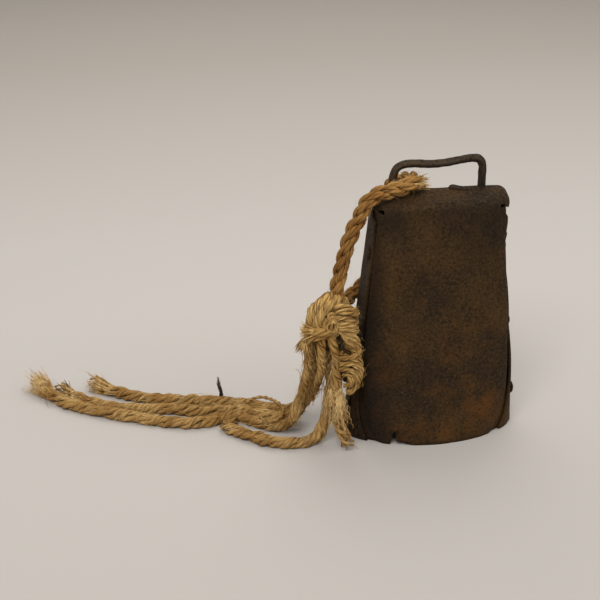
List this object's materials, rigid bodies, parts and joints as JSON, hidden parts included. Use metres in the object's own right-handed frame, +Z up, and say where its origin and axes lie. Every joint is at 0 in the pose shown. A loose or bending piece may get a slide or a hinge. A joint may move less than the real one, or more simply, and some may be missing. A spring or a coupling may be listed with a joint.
{
  "type": "yard dinner bell",
  "caption": "Hand-made folded sheet-iron bell with riveted sides, a rod bail, a free clapper and a knotted sisal rope with unlaid ends.",
  "frame": {"origin": "middle of the bell's mouth on the plane of the lip, which is what the bell stands on", "axes": "+Z up to the bail, +X along the broad face away from the rope, -Y out of the front face"},
  "size_m": [0.3086, 0.1187, 0.1798],
  "materials": {
    "sheet_iron": "rusted sheet iron, dull, pitted, with orange rust patches",
    "rivet_iron": "hammered iron, rubbed and rusty",
    "forged_rod": "forged rod, worn smooth on the high spots",
    "clapper_iron": "forged iron, bright where it strikes",
    "sisal_rope": "three-strand laid sisal, weathered, hairy",
    "sisal_strand": "unlaid sisal strands and yarns, frayed"
  },
  "bodies": {
    "bell": {"bell_shell": "sheet_iron", "rivet_left_top": "rivet_iron", "rivet_left_middle": "rivet_iron", "rivet_left_bottom": "rivet_iron", "rivet_right_top": "rivet_iron", "rivet_right_middle": "rivet_iron", "rivet_right_bottom": "rivet_iron", "bail_handle": "forged_rod", "clapper_staple": "forged_rod", "rope_loop": "sisal_rope", "rope_knot": "sisal_rope", "yarn_loops": "sisal_strand", "strand_short": "sisal_strand", "strand_low": "sisal_strand", "strand_middle": "sisal_strand", "strand_upper": "sisal_strand", "strand_doubled": "sisal_strand", "yarn_curl": "sisal_strand"},
    "link": {"clapper_link": "forged_rod"},
    "clapper": {"clapper_rod": "forged_rod", "clapper_ball": "clapper_iron"}
  },
  "joints": [
    {"name": "link_swing", "type": "hinge", "parent": "bell", "child": "link", "pos_m": [0, 0, 0.144], "axis": [1, 0, 0], "range_deg": [-4, 4]},
    {"name": "clapper_swing", "type": "hinge", "parent": "link", "child": "clapper", "pos_m": [0, 0, 0.1346], "axis": [0, 1, 0], "range_deg": [-16, 16]}
  ]
}
